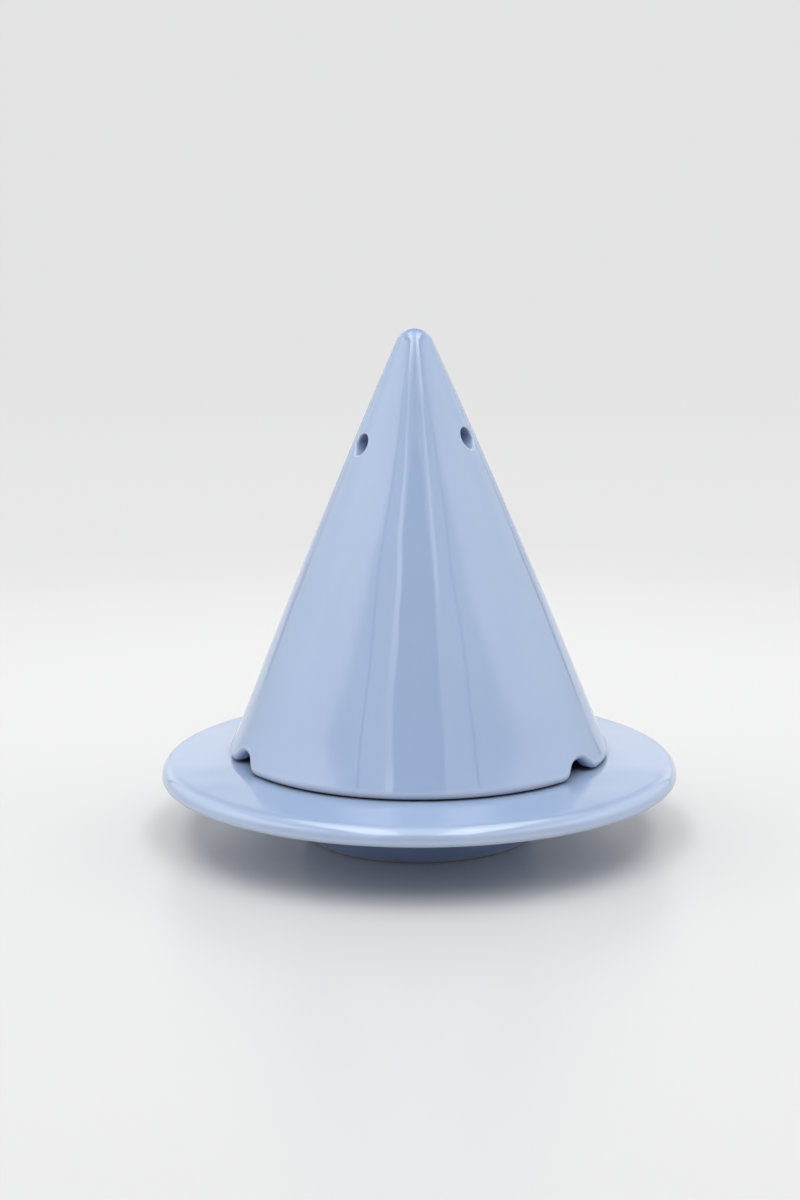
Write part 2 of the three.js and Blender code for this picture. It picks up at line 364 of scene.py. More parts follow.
BLUE = (0.305, 0.400, 0.580, 1.0)
DEEP_BLUE = (0.238, 0.318, 0.472, 1.0)
THIN_BLUE = (0.430, 0.500, 0.640, 1.0)
# Deeper blue where glaze pools in a hollow, also used as painted shade inside the cover and under the
# saucer's brim.
POOLED_AND_SHADED_BLUE = (0.290, 0.385, 0.590, 1.0)
CLAY = (0.560, 0.480, 0.420, 1.0)
DARK_CLAY = (0.430, 0.350, 0.300, 1.0)
TABLE_PAINT = (0.570, 0.570, 0.572, 1.0)
TABLE_TONE = (0.803, 0.803, 0.806, 1.0)
BACKDROP = (0.776, 0.776, 0.778, 1.0)
WHITE = (1.0, 1.0, 1.0, 1.0)


def glaze(name, bare_height, painted_shade_zone=(0.0, 0.0)):
    """Glossy blue glaze over stoneware: paler where it runs thin over an edge, deeper where it pools in a
    hollow, faintly clouded, with a surface that waves a little. The deeper colour is also painted shade
    where a piece marks its points below 0, as inside the cover and down its vents. Level, upward faces are
    painted deeper blue, as shade against the light from above. Shade is also painted nearer the axis than
    the first and lower than the second of the last argument's two lengths: under the saucer's brim, round
    its foot and in its well. Below bare_height the clay is bare, with a wandering border. Lengths in
    millimetres."""
    r = Recipe(bpy.data.materials.new(name))
    where = r.place()
    height = r.part(where, "Z")
    bend_shade = r.kept("bend_and_shade")
    cloud, fine = r.noise(where, 26.0, 3.0), r.noise(where, 420.0, 2.0)

    colour = r.blend((cloud - 0.35) * 0.5, BLUE, DEEP_BLUE)
    # Pooled glaze in hollows; where a piece marks its points below 0, as inside the cover and its vents,
    # this is painted shade.
    colour = r.blend(r.rise(-bend_shade, 0.05, 0.45), colour, POOLED_AND_SHADED_BLUE)
    thin = r.rise(bend_shade + (cloud - 0.5) * 0.2, 0.05, 0.45)
    colour = r.blend(thin * 0.75, colour, THIN_BLUE)
    # Painted shade: level, upward faces are made deeper blue, against the light from above.
    level = r.rise(r.part(r.add("ShaderNodeTexCoord", output="Normal"), "Z"), 0.75, 0.97)
    colour = r.blend(level * 0.75, colour, DEEP_BLUE)

    # Painted shade under the saucer's brim, round its foot and in its well.
    reach, top = painted_shade_zone
    from_axis = r.length(r.stretched(where, (1.0, 1.0, 0.0)))
    under = r.fall(from_axis, (reach - 5) * MM, reach * MM) * r.fall(height, (top - 1) * MM, top * MM)
    colour = r.blend(under, colour, POOLED_AND_SHADED_BLUE)

    border = height - (r.noise(where, 90.0, 3.0) - 0.5) * 0.0006
    bare = r.fall(border, (bare_height - 0.12) * MM, (bare_height + 0.12) * MM)
    clay = r.blend(r.noise(where, 900.0, 4.0, 0.7), DARK_CLAY, CLAY)
    colour = r.blend(bare, colour, clay)
    smooth = 0.02 + (fine - 0.5) * 0.02
    roughness = smooth * (1.0 - bare) + bare * 0.8

    wave = r.bump(r.noise(r.stretched(where, (1.0, 1.0, 0.4)), 62.0, 0.6), 0.0004)
    grain = fine * (1.0 - bare) * 0.06 + bare * r.noise(where, 1500.0, 3.0, 0.7)
    normal = r.bump(grain, 0.00006, wave)
    return r.finished({"Base Color": colour, "Roughness": roughness, "Normal": normal, "IOR": 1.6})


def foil(name):
    """Drawn aluminium: fine rings from the drawing, a few dull smudges."""
    r = Recipe(bpy.data.materials.new(name))
    where = r.place()
    rings = r.add("ShaderNodeTexWave", {"wave_type": "RINGS", "rings_direction": "Z"},
                  {"Vector": where, "Scale": 260.0, "Distortion": 1.5, "Detail": 2.0}, output="Fac")
    smudge = r.noise(where, 120.0, 3.0)
    colour = r.blend(smudge, (0.72, 0.73, 0.74, 1.0), (0.86, 0.87, 0.88, 1.0))
    return r.finished({"Base Color": colour, "Metallic": 1.0, "Roughness": 0.22 + smudge * 0.16,
                       "Normal": r.bump(rings, 0.00001)})


def candle_wax(name):
    """White paraffin wax, with a faint mottle and a dimpled cast surface."""
    r = Recipe(bpy.data.materials.new(name))
    mottle = r.noise(r.place(), 180.0, 4.0)
    colour = r.blend(mottle, (0.80, 0.78, 0.71, 1.0), (0.90, 0.89, 0.84, 1.0))
    return r.finished({"Base Color": colour, "Roughness": 0.34 + mottle * 0.2, "IOR": 1.43,
                       "Normal": r.bump(mottle, 0.00012)})


def cotton(name):
    """Braided cotton: pale strands, a little waxed, with painted shade in the grooves between them. The mesh
    keeps the strands' height at its points, and the colour is painted darker where it is low."""
    r = Recipe(bpy.data.materials.new(name))
    fuzz = r.noise(r.place(), 2500.0, 3.0, 0.7)
    # Painted shade: darker in the grooves between the strands.
    colour = r.blend(r.kept("bend_and_shade"), (0.55, 0.50, 0.40, 1.0), (0.86, 0.82, 0.72, 1.0))
    return r.finished({"Base Color": colour, "Roughness": 0.75 + fuzz * 0.2,
                       "Normal": r.bump(fuzz, 0.00006)})


def tinplate(name):
    """Tinned sheet: dull bright metal with a faint crystal mottle."""
    r = Recipe(bpy.data.materials.new(name))
    where = r.place()
    cells = r.add("ShaderNodeTexVoronoi", None, {"Vector": where, "Scale": 700.0}, output="Distance")
    colour = r.blend(cells, (0.50, 0.51, 0.52, 1.0), (0.64, 0.65, 0.66, 1.0))
    return r.finished({"Base Color": colour, "Metallic": 1.0, "Roughness": 0.30 + cells * 0.2,
                       "Normal": r.bump(r.noise(where, 600.0), 0.00002)})


# Cone cover


def slant_of(radius, height, ball):
    """Slope from the axis of the straight side that touches a ball on the axis at the top."""
    centre = height - ball
    return np.arctan2(radius, centre) - np.arcsin(ball / np.hypot(radius, centre))


COVER_SLANT = slant_of(COVER_RADIUS, COVER_HEIGHT, COVER_NOSE)
COVER_ACROSS = COVER_WALL / np.cos(COVER_SLANT)


def ball_centre(rim, ball):
    """Height of the centre of a ball on the axis that the slanted side from the rim's radius touches."""
    return (rim - ball / np.cos(COVER_SLANT)) / np.tan(COVER_SLANT)


def cover_skin(height, rim, ball):
    """Radius of the cover's side at a height h above its rim: a straight slant, a swell of 4 s (1 - s) times
    COVER_SWELL where s is the share of the side's height, and near the rim a flare of COVER_FLARE times the
    square of 1 - h / COVER_FLARE_HEIGHT."""
    top = ball_centre(rim, ball) + ball * np.sin(COVER_SLANT)
    share = height / top
    swell = 4 * COVER_SWELL * share * (1 - share)
    flare = COVER_FLARE * np.clip(1 - height / COVER_FLARE_HEIGHT, 0, None) ** 2
    return rim - height * np.tan(COVER_SLANT) + swell + flare


def cover_radius(height, depth):
    """Radius at a height, depth millimetres of the way through the wall, measured level."""
    outer = cover_skin(height, COVER_RADIUS, COVER_NOSE)
    inner = cover_skin(height, COVER_RADIUS - COVER_ACROSS, COVER_INNER_NOSE)
    return outer + (inner - outer) * depth / COVER_ACROSS


def inlet_lift(azimuth):
    """How far the rim is raised at each azimuth (radians): at every inlet a bell whose half is drawn with
    two cubic curves, sideways INLET_SPAN / 2 (1-t)^3 + 3/2 (1-t) t (INLET_FLARE (1-t) + INLET_SHOULDER t)
    and up h (3 t^2 - 2 t^3)."""
    t = np.linspace(0, 1, 200)
    half = INLET_SPAN / 2 * (1 - t) ** 3
    sideways = half + 1.5 * (1 - t) * t * (INLET_FLARE * (1 - t) + INLET_SHOULDER * t)
    up = t * t * (3 - 2 * t)
    lift = np.zeros_like(azimuth)
    for degrees, height in INLETS:
        gap = np.angle(np.exp(1j * (azimuth - np.radians(degrees))))
        lift += height * np.interp(np.abs(COVER_RADIUS * gap), sideways[::-1], up[::-1])
    return lift


def cover_columns(count):
    """Azimuths from -120 to 240 degrees, three times closer together near the vents and the inlets."""
    fine = np.radians(np.linspace(-120, 240, 7201))
    weight = np.ones_like(fine)
    for inlet, vent in zip(sorted(INLETS), sorted(VENTS)):
        middle = np.radians((inlet[0] + vent[0]) / 2)
        gap = np.degrees(np.angle(np.exp(1j * (fine - middle))))
        weight += 2.2 * np.exp(-((gap / 17) ** 4))
    total = np.concatenate([[0], np.cumsum((weight[1:] + weight[:-1]) / 2)])
    return np.interp(np.linspace(0, total[-1], count, endpoint=False), total, fine)


def cover_rows(azimuth):
    """Height above the rim's plane, depth through the wall and azimuth of every point of the cover between
    its two noses; the rows run from the outer top down, round the rim and up inside. Near the rim the rows
    follow the inlets: a point is raised by the edge's lift, which fades over the lowest 16 mm, and moved at
    right angles to the edge, which fades over 6 mm."""
    lift_fades, turn_fades = 16.0, 6.0
    outer, inner = COVER_OUTER_ROUND, COVER_INNER_ROUND
    high = np.arange(lift_fades, 121.0, COVER_ROW_STEP)[:, None]
    low = np.linspace(0, 1, 17)[:-1, None] ** 1.3
    quarter = np.radians(np.linspace(0, 90, 8))[1:, None]
    under = np.linspace(0, 1, 6)[1:, None]
    # Each block of rows as its height over the edge and its depth through the wall
    rows = [
        (high[::-1], 0.0),
        (outer + (lift_fades - outer) * low[::-1], 0.0),
        (outer * (1 - np.sin(quarter)), outer * (1 - np.cos(quarter))),
        (0.0, outer + (COVER_ACROSS - inner - outer) * under),
        (inner * (1 - np.cos(quarter)), COVER_ACROSS - inner * (1 - np.sin(quarter))),
        (inner + (lift_fades - inner) * low[1:], COVER_ACROSS),
        (high, COVER_ACROSS),
    ]
    lift = inlet_lift(azimuth)
    spread = [np.broadcast_arrays(up, depth, lift)[:2] for up, depth in rows]
    up, depth = (np.concatenate(part) for part in zip(*spread))
    fading, turning = np.clip(1 - up / lift_fades, 0, 1), np.clip(1 - up / turn_fades, 0, 1)
    fading, turning = fading**2 * (3 - 2 * fading), turning**2 * (3 - 2 * turning)
    slope = np.gradient(lift, COVER_RADIUS * azimuth)
    length = np.hypot(1, slope)
    height = up + (lift + RIM_GAP) * fading - up * (1 - 1 / length) * turning
    return height, depth, azimuth - slope / length * up * turning / COVER_RADIUS


def nose_rows(rim, ball, top_row, count):
    """Radius and height of the rows of a nose from its pole down to the side's highest row: a ball that
    turns into the side where it touches it."""
    angle = np.linspace(np.pi / 2, COVER_SLANT, count)
    centre = ball_centre(rim, ball)
    radius, height = ball * np.cos(angle), centre + ball * np.sin(angle)
    steps = max(2, int((height[-1] - top_row) / COVER_ROW_STEP) + 1)
    side = np.linspace(height[-1], top_row, steps)[1:-1]
    return np.concatenate([radius, cover_skin(side, rim, ball)]), np.concatenate([height, side])


def vent_rings(edge, inner_edge, degrees, height):
    """Rings of points that lead from the edge of a gap in the outer skin over a rounded lip, through the
    wall and out to the edge of the gap in the inner skin, and each ring's mark for the glaze: paler on the
    outer lip, and painted shade deeper down the bore, round the inner lip and on the inner skin. Outside
    the bore a ring's point goes a share of the way from the gap's edge to the circle. It stands
    sqrt(R(z)^2 - x^2) in front of the cover's axis, where x is its distance sideways and R the cover's
    radius at its height z and depth."""
    outer_lip, inner_lip = VENT_OUTER_LIP, VENT_INNER_LIP
    facing = np.radians(degrees)
    sideways = np.array([np.cos(facing), np.sin(facing)])
    forward = np.array([np.sin(facing), -np.cos(facing)])
    start, stop = (np.stack([ring[:, :2] @ sideways, ring[:, 2] - COVER_SEAT - height], 1)
                   for ring in (edge, inner_edge))
    angle = np.arctan2(start[:, 1], start[:, 0])
    circle = np.stack([np.cos(angle), np.sin(angle)], 1)
    quarter = np.radians(np.linspace(0, 90, 8))[1:]
    front, back = circle * (VENT_RADIUS + outer_lip), circle * (VENT_RADIUS + inner_lip)
    rings = [(start + (front - start) * share, 0, 0.1) for share in (0.25, 0.5, 0.7, 0.87, 1)]
    rings += [(front - circle * outer_lip * np.sin(q), outer_lip * (1 - np.cos(q)), 0.9) for q in quarter]
    # Painted shade: the marks fall below 0 deeper down the bore and stay below 0 round the inner lip and on
    # the inner skin.
    rings += [(circle * VENT_RADIUS, depth, 0.1 - 0.3 * depth)
              for depth in np.linspace(outer_lip, COVER_ACROSS - inner_lip, 6)[1:]]
    rings += [(back - circle * inner_lip * np.cos(q), COVER_ACROSS - inner_lip * (1 - np.sin(q)), -0.5)
              for q in quarter[1::2]]
    rings += [(back + (stop - back) * share, COVER_ACROSS, -0.8) for share in (0.0, 0.35, 0.7)]
    places, bend_shades = [], []
    for at, depth, bend_shade in rings:
        ahead = np.sqrt(cover_radius(at[:, 1] + height, depth) ** 2 - at[:, 0] ** 2)
        level = at[:, :1] * sideways + ahead[:, None] * forward
        places.append(np.column_stack([level, at[:, 1] + height + COVER_SEAT]))
        bend_shades.append(np.full(len(at), bend_shade))
    return places, bend_shades


def cone_cover(finish):
    """The cover as one grid, section by azimuth, with a block of cells taken out at each vent, outside and
    inside, and the vent's rings sewn between the two gaps. The block reaches VENT_BLOCK_ANGLE degrees and
    VENT_BLOCK_HEIGHT to every side. The cover leans by COVER_LEAN times the height."""
    azimuth = cover_columns(COVER_COLUMNS)
    height, depth, turn = cover_rows(azimuth)
    radius = cover_radius(height, depth)
    noses = []
    for rim, ball, row, count in ((COVER_RADIUS, COVER_NOSE, 0, 16),
                                  (COVER_RADIUS - COVER_ACROSS, COVER_INNER_NOSE, -1, 8)):
        nose_radius, level = nose_rows(rim, ball, height[row, 0], count)
        noses.append(around(nose_radius[:, None], level[:, None] + COVER_SEAT, azimuth))
    grid = np.concatenate([noses[0], around(radius, height + COVER_SEAT, turn), noses[1][::-1]])
    index = np.arange(grid[..., 0].size).reshape(grid.shape[:2])
    index[0], index[-1] = index[0, 0], index[-1, 0]
    quads = grid_faces(index, False)

    first, last = len(noses[0]), len(height) - 1
    section = np.stack([radius[:, 0], height[:, 0]], 1)
    bend_shade = np.zeros(index.shape)
    bend_shade[first : first + len(height)] = bend_and_shade(section[::-1])[::-1, None]
    # Painted shade: the cover's inside and its inner nose are marked below 0, so that the glaze there is
    # painted deeper blue.
    bend_shade[first : first + len(height)] -= 2.0 * np.clip(depth / COVER_ACROSS - 0.6, 0, None)
    bend_shade[first + len(height) :] = -0.8

    flat = grid.reshape(-1, 3)
    points, bend_shades, sewn = [flat], [bend_shade.ravel()], []
    count = len(flat)
    keep = np.ones(quads.shape[:2], bool)
    mirror = 2 * first + last
    for degrees, vent_height in VENTS:
        across = np.flatnonzero(np.abs(azimuth - np.radians(degrees)) <= np.radians(VENT_BLOCK_ANGLE))
        level = np.flatnonzero(np.abs(height[: last // 2, 0] - vent_height) <= VENT_BLOCK_HEIGHT)
        left, right = across[0], across[-1]
        upper, lower = first + level[0], first + level[-1]
        keep[upper:lower, left:right] = False
        keep[mirror - lower : mirror - upper, left:right] = False
        wide, tall = np.arange(left, right), np.arange(upper, lower)
        row = np.concatenate([0 * wide + upper, tall, 0 * wide + lower, tall[::-1] + 1])
        column = np.concatenate([wide, 0 * tall + right, wide[::-1] + 1, 0 * tall + left])
        edge, inner_edge = index[row, column], index[mirror - row, column]
        rings, ring_bend_shades = vent_rings(flat[edge], flat[inner_edge], degrees, vent_height)
        starts = count + len(edge) * np.arange(len(rings))
        numbers = [edge, *(start + np.arange(len(edge)) for start in starts), inner_edge]
        count += len(edge) * len(rings)
        points += rings
        bend_shades += ring_bend_shades
        for a, b in zip(numbers[:-1], numbers[1:]):
            sewn.append(np.stack([a, np.roll(a, -1), np.roll(b, -1), b], 1))
    quads = np.concatenate([quads[keep]] + sewn)
    points = np.concatenate(points)
    points[:, 0] -= COVER_LEAN * (points[:, 2] - COVER_SEAT)
    piece("cover_cone", points, quads[:, ::-1], "cover", "cone_cover", finish,
          np.concatenate(bend_shades))


# Saucer, stand and dish


def saucer(finish):
    """Turned section: the hollow foot ring, the brim's underside, its round edge and its nearly level top,
    and the well."""
    inner_foot = FOOT_RADIUS - FOOT_WIDTH
    line = profile([
        (0, FOOT_HOLLOW), (inner_foot, FOOT_HOLLOW, FOOT_ROUND), (inner_foot, 0, FOOT_ROUND),
        (FOOT_RADIUS, 0, FOOT_ROUND), (FOOT_RADIUS + 2.6, SEAT_HEIGHT - 5, 6),
        (SAUCER_RADIUS, BRIM_EDGE_BOTTOM, 1.2), (SAUCER_RADIUS, BRIM_EDGE_TOP, 4.4),
        (COVER_RADIUS + 2, SEAT_HEIGHT, 15), (WELL_RADIUS + 1.6, SEAT_HEIGHT, 3.5),
        (WELL_RADIUS, WELL_FLOOR, 2.2), (0, WELL_FLOOR),
    ])
    lathe("saucer_dish", line, 288, "saucer", "saucer", finish)


def stand_edge():
    """The stand's lower edge for half an arch, unrolled: x sideways from the arch's middle, h up. It runs
    along the leg's foot, round a corner, up the arch's side and over the round head. With it come the leg's
    middle and the numbers of the points where the stretches end."""
    spring = STAND_HEIGHT - ARCH_TOP_BAND - ARCH_HALF
    corner_round = 2.0
    middle_radius = STAND_FOOT - STAND_WALL / 2
    leg = ARCH_HALF + (np.pi / 3 - np.arcsin(ARCH_HALF / middle_radius)) * middle_radius
    foot = divided(np.array([[leg, 0], [ARCH_HALF + corner_round, 0]]), 1.1)
    corners = np.array([[leg, 0], [ARCH_HALF, 0], [ARCH_HALF, spring]])
    corner = arc_at(*corners, corner_round, 15)
    upright = divided(np.array([[ARCH_HALF, corner_round], [ARCH_HALF, spring]]), 1.4)
    turn = np.radians(np.linspace(0, 90, 22))[1:]
    head = np.stack([ARCH_HALF * np.cos(turn), spring + ARCH_HALF * np.sin(turn)], 1)
    edge = np.concatenate([foot[:-1], corner, upright[1:], head])
    return edge, leg, [0, len(foot) - 1, len(edge) - len(head) - 1, len(edge) - 1]


def dish_stand(finish):
    """The stand's wall, worked out for half an arch: its points lie on straight lines that fan out from the
    lower edge to the top; the section goes down outside, round the lower edge, up inside and round the top.
    The half is mirrored, and turned into three places."""
    edge, leg, ends = stand_edge()
    soft = 1.0
    along = np.gradient(edge, axis=0)
    inward = np.stack([along[:, 1], -along[:, 0]], 1) / np.linalg.norm(along, axis=1)[:, None]
    fan = np.interp(np.arange(len(edge)), ends, np.radians([60, 50, 36, 0]))
    quarter = np.radians(np.linspace(0, 90, 7))
    share = np.linspace(0, 1, 26)[1:] ** 1.15
    wall = np.linspace(soft, STAND_WALL - soft, 4)[1:-1]
    section = [(soft, up, 0) for up in share[::-1]]
    section += [(soft * (1 - np.sin(q)), 0, soft * (1 - np.cos(q))) for q in quarter]
    section += [(0, 0, depth) for depth in wall]
    section += [(soft * (1 - np.cos(q)), 0, STAND_WALL - soft * (1 - np.sin(q))) for q in quarter]
    section += [(soft, up, STAND_WALL) for up in share]
    crown = STAND_HEIGHT - soft
    rows = []
    for inset, up, depth in section:
        x, h = (edge + inward * inset).T
        radius = STAND_FOOT - STAND_TAPER * h / STAND_HEIGHT - depth
        side = np.arcsin(ARCH_HALF / radius)
        beyond = side + (x - ARCH_HALF) / (leg - ARCH_HALF) * (np.pi / 3 - side)
        angle = np.where(x > ARCH_HALF, beyond, np.arcsin(np.clip(x, 0, ARCH_HALF) / radius))
        rows.append((angle * (1 - up) + fan * up, h * (1 - up) + crown * up, depth))
    top = [(soft * np.sin(q), STAND_WALL - soft * (1 - np.cos(q))) for q in quarter[1:]]
    top += [(soft, depth) for depth in wall[::-1]]
    top += [(soft * np.cos(q), soft * (1 - np.sin(q))) for q in quarter[:-1]]
    rows += [(fan, np.full(len(fan), crown + up), depth) for up, depth in top]

    angle, height = np.stack([row[0] for row in rows]), np.stack([row[1] for row in rows])
    depth = np.array([row[2] for row in rows])
    angle = np.concatenate([-angle[:, :-1], angle[:, :0:-1]], 1)
    height = np.concatenate([height[:, :-1], height[:, :0:-1]], 1)
    angle = np.concatenate([angle + third for third in np.radians([0, 120, 240])], 1)
    height = np.tile(height, 3)
    radius = STAND_FOOT - STAND_TAPER * height / STAND_HEIGHT - depth[:, None]
    points = around(radius, height + STAND_BASE, angle)
    rounded = (depth > 0) & (depth < STAND_WALL)
    bend_shade = np.repeat(rounded * 0.7, angle.shape[1])
    index = np.arange(angle.size).reshape(angle.shape)
    piece("stand_ring", points, grid_faces(index, True)[..., ::-1], "stand", "dish_stand", finish,
          bend_shade)


def oil_dish(finish):
    """Turned section: the spigot, the round belly, the rim and the hollow."""
    height = DISH_RIM - DISH_BOTTOM - SPIGOT_DEPTH
    belly_radius = DISH_RADIUS - DISH_LEAN
    line = profile([
        (0, -SPIGOT_DEPTH), (SPIGOT_RADIUS, -SPIGOT_DEPTH, 1), (SPIGOT_RADIUS, 0, 0.4),
        (STAND_TOP_RADIUS, 0, 1), (belly_radius, 0.4 * height, 8), (DISH_RADIUS, height, DISH_RIM_ROUND),
        (DISH_RADIUS - DISH_WALL, height, DISH_RIM_ROUND), (belly_radius - DISH_WALL, DISH_FLOOR, 8),
        (0, DISH_FLOOR),
    ], 0.9)
    lathe("dish_bowl", line, 192, "dish", "oil_dish", finish, base=DISH_BOTTOM + SPIGOT_DEPTH)


# Tealight


def tealight_cup(finish):
    """Drawn cup with a rolled bead round its rim; shallow flutes run up its side, deepest at mid height."""
    height = CUP_TOP - CUP_BASE
    line = profile([
        (0, 0), (CUP_RADIUS, 0, 1), (CUP_RADIUS, height - 1.2, 0.15),
        (CUP_RADIUS + CUP_BEAD, height - 1.0, 0.3), (CUP_RADIUS + CUP_BEAD, height, 0.45),
        (CUP_RADIUS - CUP_SHEET, height, 0.45), (CUP_RADIUS - CUP_SHEET, CUP_SHEET, 0.5), (0, CUP_SHEET),
    ], 0.6)

    def flutes(radius, level, azimuth):
        side = np.clip((level - 1.5) / 3, 0, 1) * np.clip((height - 1.5 - level) / 3, 0, 1)
        return -0.07 * side * (1 - np.cos(CUP_FLUTES * azimuth)) * (radius > CUP_RADIUS - 1)

    lathe("cup_shell", line, 480, "tealight", "tealight_cup", finish, base=CUP_BASE,
          ripple=flutes)


def tealight_wax(finish):
    """Cast wax: a bell-shaped hollow round the wick, another along the cup under a crept edge, and a cavity
    that clears the wick's tab and its neck."""
    top = WAX_TOP - WAX_BOTTOM
    by_tab, over_tab = TAB_RADIUS + WAX_GAP, TAB_SHEET + WAX_GAP
    by_neck, over_neck = WICK_HOLE + TAB_SHEET + WAX_GAP, TAB_TOP - TAB_BASE + WAX_GAP
    outside = profile([(by_tab, 0), (WAX_RADIUS, 0, 0.5), (WAX_RADIUS, top, 0.25)], 0.8)
    radius = np.linspace(WAX_RADIUS - 0.5, WICK_HOLE, 30)
    hollow = 0.55 * np.exp(-(((radius - WICK_HOLE) / 5) ** 2))
    hollow += 0.35 * np.exp(-((WAX_RADIUS - radius) / 1.2))
    surface = np.stack([radius, top - 0.15 - hollow * 0.6], 1)
    surface[0, 1] = top - 0.05
    cavity = profile([(WICK_HOLE, over_neck), (by_neck, over_neck, 0.3), (by_neck, over_tab, 0.3),
                      (by_tab, over_tab), (by_tab, 0)], 0.8)
    line = np.concatenate([outside[:-1], surface, cavity[:-1]])
    lathe("wax_fill", divided(line, 1.0), 160, "tealight", "tealight_wax", finish, closed=True,
          base=WAX_BOTTOM)


def tealight_wick(finish):
    """Braided cord: its axis goes straight up and then leans over with a power of the height. Round it run
    three strands each way, whose crossing raises the surface by |cos| of one and a half times the angle
    less or plus the lay. The tip closes in a quarter circle."""
    rows, columns = 150, 40
    length, tip_round = WICK_TIP - WICK_BOTTOM, 0.9
    height = np.linspace(0, length, rows)[:, None]
    angle = np.linspace(0, 2 * np.pi, columns, endpoint=False)[None, :]
    lean = np.clip((height - WICK_STRAIGHT) / (length - WICK_STRAIGHT), 0, 1) ** 1.6 * WICK_LEAN
    lay = height * 2.1
    strand = np.maximum(np.abs(np.cos(1.5 * angle - lay)), np.abs(np.cos(1.5 * angle + lay)))
    closing = np.sqrt(np.clip(1 - ((height - length + tip_round) / tip_round).clip(0, 1) ** 2, 0, 1))
    radius = (WICK_RADIUS - 0.16 * (1 - strand) - 0.02) * closing
    at = lean + radius * np.cos(angle), radius * np.sin(angle), height + WICK_BOTTOM
    points = np.stack(np.broadcast_arrays(*at), -1)
    foot, tip = points[0].mean(0), points[-1].mean(0)
    flat = np.concatenate([points.reshape(-1, 3), [foot]])
    index = np.arange(rows * columns).reshape(rows, columns)
    index[-1] = index[-1, 0]
    flat[index[-1, 0]] = tip
    index = np.concatenate([np.full((1, columns), rows * columns), index])
    piece("wick_cord", flat, grid_faces(index, False), "tealight", "tealight_wick", finish,
          np.append(strand.ravel(), 0.5))


def wick_tab(finish):
    """Pressed disc with a crimped neck, turned as one section."""
    height, neck = TAB_TOP - TAB_BASE, WICK_HOLE + TAB_SHEET
    line = profile([
        (0, 0), (TAB_RADIUS, 0, 0.2), (TAB_RADIUS, TAB_SHEET, 0.2), (neck, TAB_SHEET, 0.4),
        (neck, height, 0.2), (WICK_HOLE, height, 0.2), (WICK_HOLE, TAB_SHEET), (0, TAB_SHEET),
    ], 0.5)
    lathe("wick_sustainer", line, 120, "tealight", "wick_tab", finish, base=TAB_BASE)


# Studio


def floor():
    """Flat disc in rings that grow with the distance. Its satin paint gives way, for the camera alone, to a
    plain tone that darkens a little far away, so that no horizon shows."""
    radius = np.concatenate([[0], np.geomspace(0.02, 8.0, 60)]) / MM
    azimuth = np.linspace(0, 2 * np.pi, 96, endpoint=False)
    points = around(radius[:, None], 0.0, azimuth)
    index = np.arange(points[..., 0].size).reshape(points.shape[:2])
    index[0] = 0
    made = meshed("table_top", points, grid_faces(index, False)[..., ::-1])
    r = Recipe(bpy.data.materials.new("table paint"))
    away = r.length(r.place())
    satin = {"Base Color": TABLE_PAINT, "Roughness": 0.3, "IOR": 1.4}
    paint = r.add("ShaderNodeBsdfPrincipled", None, satin)
    tone = r.blend(r.rise(away, 0.7, 1.7), TABLE_TONE, BACKDROP)
    plain = r.add("ShaderNodeEmission", None, {"Color": tone, "Strength": 1.0})
    fading = r.rise(away, 0.2, 0.62) * r.add("ShaderNodeLightPath", output="Is Camera Ray")
    mixed = r.add("ShaderNodeMixShader", None, {0: fading, 1: paint, 2: plain})
    r.add("ShaderNodeOutputMaterial", None, {"Surface": mixed})
    made.data.materials.append(r.owner)


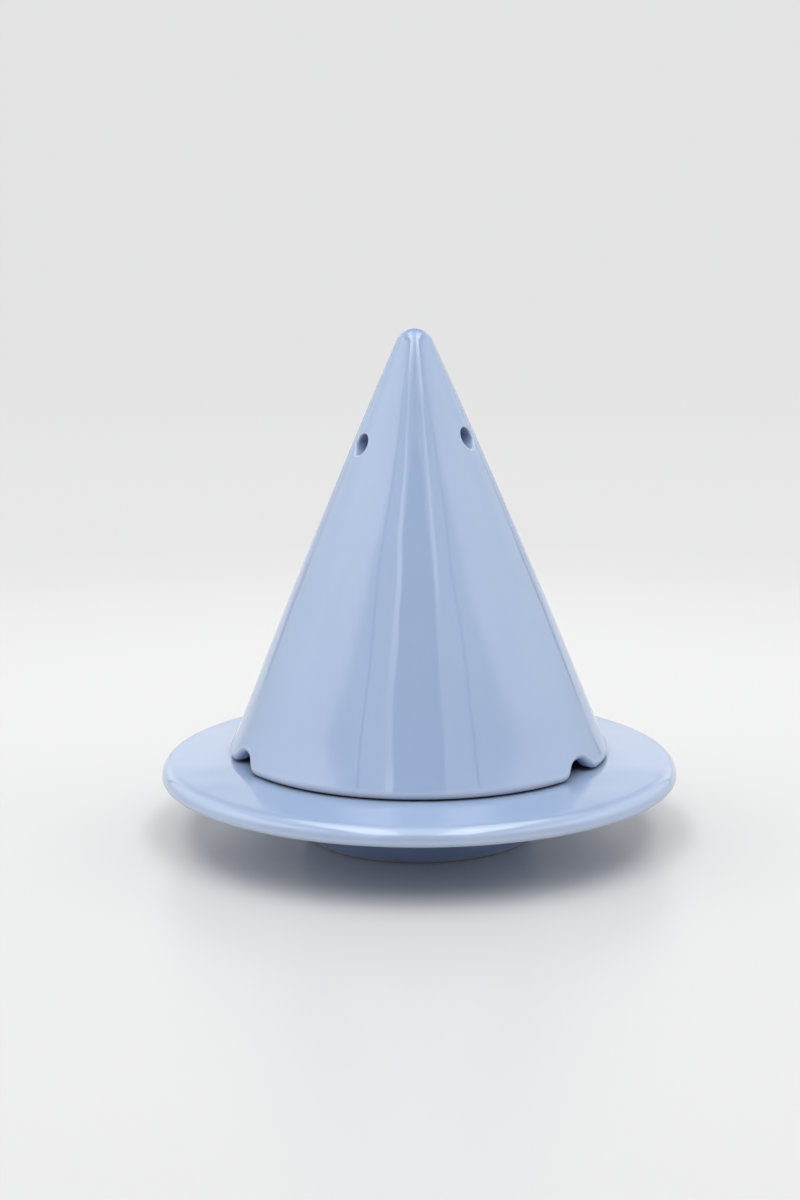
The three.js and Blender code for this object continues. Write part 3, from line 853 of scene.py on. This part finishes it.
def studio():
    """Light by direction, as inside a photographer's light tent: pale cloth walls with a seam at each
    corner, the lamps' glow on both side walls and on the roof, and a dark arched opening in front with a
    bright cloth edge down each side. The camera itself sees a plain pale backdrop instead."""
    scene = bpy.context.scene
    scene.world = bpy.data.worlds.new("light tent")
    r = Recipe(scene.world)
    direction = r.add("ShaderNodeTexCoord", output="Generated")
    x, y, z = (r.part(direction, axis) for axis in "XYZ")
    azimuth = r.math("ARCTAN2", x, -y) * np.degrees(1)
    elevation = r.math("ARCSINE", z) * np.degrees(1)
    aside, on_right = abs(azimuth), r.rise(azimuth, -1, 1)

    def strip(value, middle, half, soft):
        """1 where the value is within half of the middle, 0 beyond, with a soft border."""
        return r.fall(abs(value - middle), half - soft, half + soft)

    def seam(where):
        """A narrow upright strip on either side, from the floor up to the roof."""
        return strip(aside, where, 1.05, 0.55) * strip(elevation, 17.5, 22.5, 2)

    # The walls are paler higher up. The side lamps' glow starts lower the farther round it is.
    walls = 0.28 + 0.61 * r.rise(elevation, 8, 30)
    glow = r.rise(elevation + aside * 0.7 - on_right * 3, 62, 71) * r.rise(elevation, -4, 28)
    glow = glow * r.fall(elevation, 35, 47) * r.fall(aside, 90, 124) * (1.36 - 0.36 * on_right)
    corners = 0.5 * r.rise(aside, 84, 118) * r.rise(elevation, -2, 12) * r.fall(elevation, 20, 38)
    low = 0.4 * r.rise(aside, 55, 85) * r.fall(elevation, 12, 24)
    behind = 1.0 - 0.45 * r.rise(aside, 136, 170) * r.rise(elevation, 14, 32)
    light = (walls + glow + corners + low) * behind

    # The roof by its own plane, how far across and how far ahead: two bright panels with a gap between.
    across, ahead = abs(x / z), -y / z
    panels = (0.35 + 0.65 * r.rise(across, 0.12, 0.2)) * r.fall(across, 0.42, 0.6)
    panels = panels * (0.5 * r.rise(ahead, -0.55, -0.35) + 0.5 * r.rise(ahead, -0.1, 0.15))
    panels = panels * r.fall(ahead, 0.95, 1.1)
    roof = r.rise(elevation, 40, 44)
    light = light * (1.0 - roof) + roof * (0.25 + 4.9 * panels)

    # The opening is straight-sided up to its spring and closes over it in half an ellipse.
    opening_half, spring, crown_rise = 17.4, 33, 7.8
    side, crown = azimuth / opening_half, r.math("MAXIMUM", elevation - spring, 0.0) / crown_rise
    opening = r.fall(side * side + crown * crown, 0.88, 1.12)
    left_edge = strip(azimuth, -20.5, 2.5, 0.8) * (0.2 + 1.2 * r.rise(elevation, 27, 36))
    right_edge = strip(azimuth, 20.5, 2.5, 0.8) * 1.1 * r.rise(elevation, 32, 36)
    light = light + (left_edge + right_edge) * r.fall(elevation, 40, 44)
    light = light * (1.0 - 0.9 * seam(40.3)) * (1.0 - 0.9 * seam(143)) * (1.0 - 0.95 * opening)

    lit = r.add("ShaderNodeBackground", None, {"Color": WHITE, "Strength": light})
    seen = r.add("ShaderNodeBackground", None, {"Color": BACKDROP, "Strength": 1.0})
    camera_ray = r.add("ShaderNodeLightPath", output="Is Camera Ray")
    mixed = r.add("ShaderNodeMixShader", None, {0: camera_ray, 1: lit, 2: seen})
    r.add("ShaderNodeOutputWorld", None, {"Surface": mixed})


def camera():
    """Place, aim and lens of the camera: a fitted pinhole 650 mm in front of the burner, whose focal length
    is 2146.94 where the picture is 1200 high."""
    pitch, yaw, roll = 0.189665, -0.008883, -0.003199
    ahead = np.array([np.sin(yaw) * np.cos(pitch), np.cos(yaw) * np.cos(pitch), -np.sin(pitch)])
    right = np.array([np.cos(yaw), -np.sin(yaw), 0])
    up = np.cross(right, ahead)
    right, up = np.cos(roll) * right + np.sin(roll) * up, np.cos(roll) * up - np.sin(roll) * right
    lens = bpy.data.cameras.new("camera")
    lens.sensor_fit, lens.sensor_height, lens.lens = "VERTICAL", 36.0, 36.0 * 2146.94 / 1200
    lens.clip_start, lens.clip_end = 0.01, 50.0
    made = bpy.data.objects.new("camera", lens)
    place = np.eye(4)
    place[:3] = np.stack([right, up, -ahead, (0, -0.65, 0.19806)], 1)
    made.matrix_world = Matrix(place.tolist())
    bpy.context.scene.collection.objects.link(made)
    bpy.context.scene.camera = made


camera()
studio()
floor()
cone_cover(glaze("glaze on the cover", COVER_SEAT + 0.7))
# The two lengths bound the painted shade under the brim.
saucer(glaze("glaze on the saucer", 0.6, (78.0, 22.4)))
dish_stand(glaze("glaze on the stand", STAND_BASE + 0.6))
oil_dish(glaze("glaze on the dish", DISH_BOTTOM + 0.5))
tealight_cup(foil("drawn aluminium"))
tealight_wax(candle_wax("white wax"))
tealight_wick(cotton("braided cotton"))
wick_tab(tinplate("tinned sheet"))

bpy.context.scene.view_settings.view_transform = "Standard"
